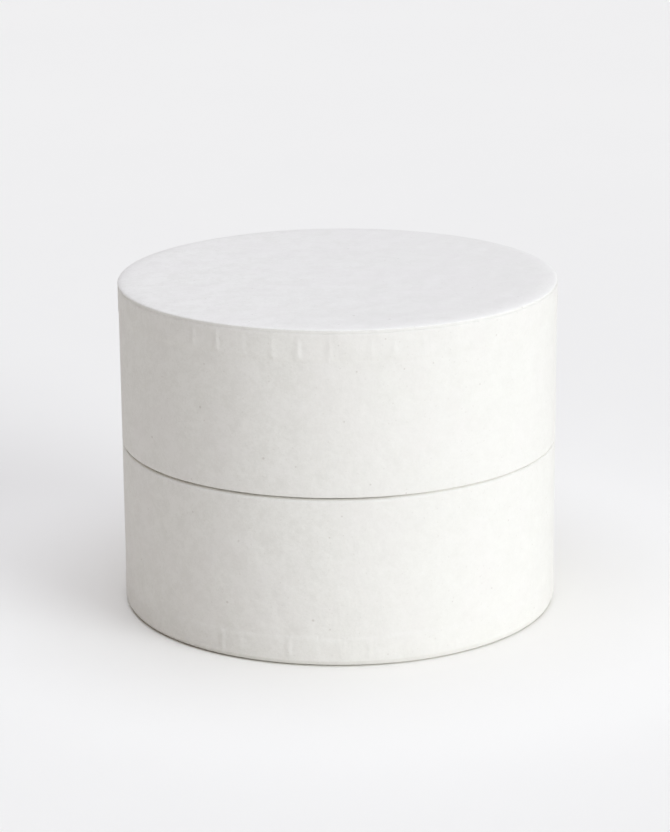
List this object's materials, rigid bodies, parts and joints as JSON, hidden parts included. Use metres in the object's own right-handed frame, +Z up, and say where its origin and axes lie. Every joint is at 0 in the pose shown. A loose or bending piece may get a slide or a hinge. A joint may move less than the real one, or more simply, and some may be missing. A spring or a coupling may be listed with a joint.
{
  "type": "round lidded box",
  "caption": "Round paper-covered board box whose lid and base meet flush at half height over an inner neck.",
  "frame": {"origin": "middle of the underside, on the surface the box stands on", "axes": "+Z up along the box's axis; -Y is the side the picture shows; the side papers' lap seams are at +Y"},
  "size_m": [0.1008, 0.1008, 0.0763],
  "materials": {
    "cover_paper": "matt white handmade paper with fine specks",
    "lining_paper": "matt white paper",
    "grey_board": "matt grey board"
  },
  "bodies": {
    "base": {"base_bottom_board": "grey_board", "base_wall_board": "grey_board", "base_bottom_paper": "cover_paper", "base_side_paper": "cover_paper", "packing_strip": "grey_board", "neck_board": "grey_board", "neck_paper": "lining_paper", "base_floor_paper": "lining_paper"},
    "lid": {"lid_top_board": "grey_board", "lid_wall_board": "grey_board", "lid_top_paper": "cover_paper", "lid_side_paper": "cover_paper", "lid_wall_lining": "lining_paper", "lid_top_lining": "lining_paper"}
  },
  "joints": [
    {"name": "lid_lift", "type": "slide", "parent": "base", "child": "lid", "axis": [0, 0, 1], "range_m": [0, 0.08]}
  ]
}
